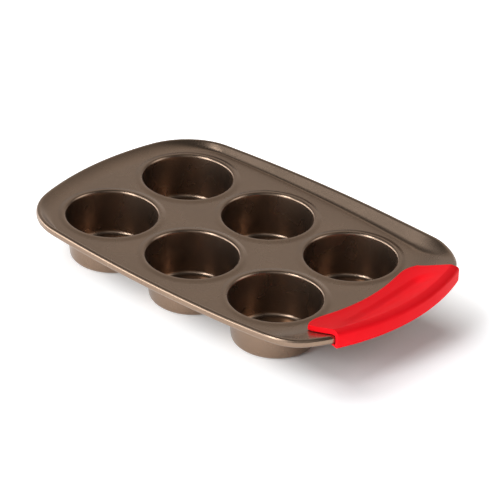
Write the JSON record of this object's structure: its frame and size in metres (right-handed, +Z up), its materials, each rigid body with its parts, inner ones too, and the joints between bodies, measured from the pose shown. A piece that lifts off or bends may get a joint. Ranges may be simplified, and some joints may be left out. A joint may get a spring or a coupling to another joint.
{
  "type": "muffin pan",
  "caption": "Rectangular bowed-edge baking pan with round tapered cups set in a flat deck, an upswept rolled rim and a soft slip-on sleeve over one end as a heat-safe handle.",
  "frame": {"origin": "On the resting plane under the cups, below the middle of the whole object's bounding box.", "axes": "X along the length of the pan with the grip at +X, Y across the pan towards the back, Z up."},
  "size_m": [0.3188, 0.202, 0.0504],
  "materials": {
    "coated_steel": "satin bronze-brown non-stick coating on steel sheet",
    "wire_steel": "plain drawn steel wire",
    "silicone": "smooth satin red silicone"
  },
  "bodies": {
    "pan": {"deck_plate": "coated_steel", "cup_front_left": "coated_steel", "cup_front_middle": "coated_steel", "cup_front_right": "coated_steel", "cup_back_left": "coated_steel", "cup_back_middle": "coated_steel", "cup_back_right": "coated_steel", "rim_wire": "wire_steel"},
    "grip": {"end_grip": "silicone"}
  },
  "joints": [
    {"name": "grip_pull_off", "type": "slide", "parent": "pan", "child": "grip", "axis": [0.8829, 0, 0.4695], "range_m": [0, 0.045]}
  ]
}
